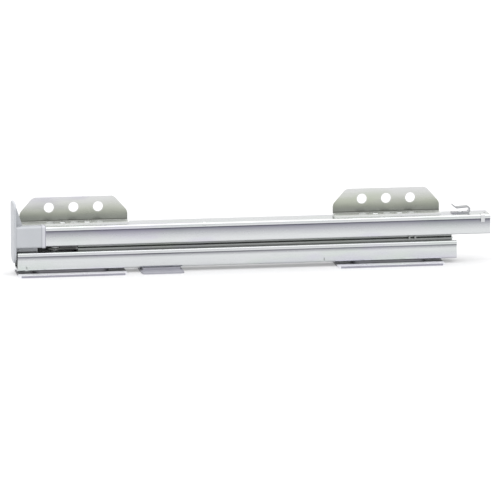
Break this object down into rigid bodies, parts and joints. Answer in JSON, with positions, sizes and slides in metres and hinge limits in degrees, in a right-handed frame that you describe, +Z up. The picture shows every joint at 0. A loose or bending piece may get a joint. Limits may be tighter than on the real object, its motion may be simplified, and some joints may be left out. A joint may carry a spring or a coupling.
{
  "type": "cabinet drawer slide",
  "caption": "Full-extension ball-bearing slide for a pull-out cabinet unit: stacked steel channels on base plates, upright hole brackets and a grey plastic front cap.",
  "frame": {"origin": "on the cabinet floor, under the middle of the closed slide's bounding box", "axes": "+X along the slide towards the back of the cabinet (the drawer member pulls out towards -X), +Y towards the brackets' side, +Z up"},
  "size_m": [0.4886, 0.05, 0.0754],
  "materials": {
    "zinc_steel": "bright zinc-plated sheet steel",
    "plate_steel": "zinc-plated sheet steel",
    "bracket_steel": "satin zinc-plated sheet steel",
    "middle_steel": "zinc-plated sheet steel",
    "cage_steel": "plain sheet steel, lightly greased",
    "ball_steel": "polished bearing balls",
    "rivet_steel": "bright zinc-plated",
    "spring_steel": "zinc-plated spring strip",
    "cap_plastic": "light grey moulded, fine texture",
    "foot_plastic": "grey moulded, fine texture",
    "stop_plastic": "dark grey moulded",
    "bumper_rubber": "black moulded rubber"
  },
  "bodies": {
    "cabinet_side": {"cabinet_member": "zinc_steel", "front_base_plate": "plate_steel", "rear_base_plate": "plate_steel", "base_plate_rivets": "rivet_steel", "middle_foot": "foot_plastic", "middle_foot_rivets": "rivet_steel", "cabinet_front_stop": "stop_plastic", "cabinet_rear_bumper": "bumper_rubber"},
    "lower_cage": {"lower_ball_cage": "cage_steel", "lower_balls": "ball_steel"},
    "middle": {"middle_member_lower": "middle_steel", "middle_member_upper": "middle_steel", "middle_rivets": "rivet_steel", "middle_front_rivet": "rivet_steel", "middle_front_bumper": "bumper_rubber", "middle_front_stop": "stop_plastic", "middle_rear_stop": "stop_plastic"},
    "upper_cage": {"upper_ball_cage": "cage_steel", "upper_balls": "ball_steel"},
    "drawer_side": {"drawer_member": "zinc_steel", "front_bracket": "bracket_steel", "rear_bracket": "bracket_steel", "bracket_rivets": "rivet_steel", "front_cap": "cap_plastic", "rear_hook": "spring_steel", "rear_hook_rivet": "rivet_steel", "rear_end_clip": "spring_steel", "drawer_rear_stop": "stop_plastic"}
  },
  "joints": [
    {"name": "middle_slide", "type": "slide", "parent": "cabinet_side", "child": "middle", "axis": [-1, 0, 0], "range_m": [0, 0.22]},
    {"name": "drawer_slide", "type": "slide", "parent": "middle", "child": "drawer_side", "axis": [-1, 0, 0], "range_m": [0, 0.23]},
    {"name": "lower_cage_slide", "type": "slide", "parent": "cabinet_side", "child": "lower_cage", "axis": [-1, 0, 0], "range_m": [0, 0.11]},
    {"name": "upper_cage_slide", "type": "slide", "parent": "middle", "child": "upper_cage", "axis": [-1, 0, 0], "range_m": [0, 0.115]}
  ],
  "couplings": [
    {"joint": "lower_cage_slide", "follows": "middle_slide", "ratio": 0.5},
    {"joint": "upper_cage_slide", "follows": "drawer_slide", "ratio": 0.5}
  ]
}
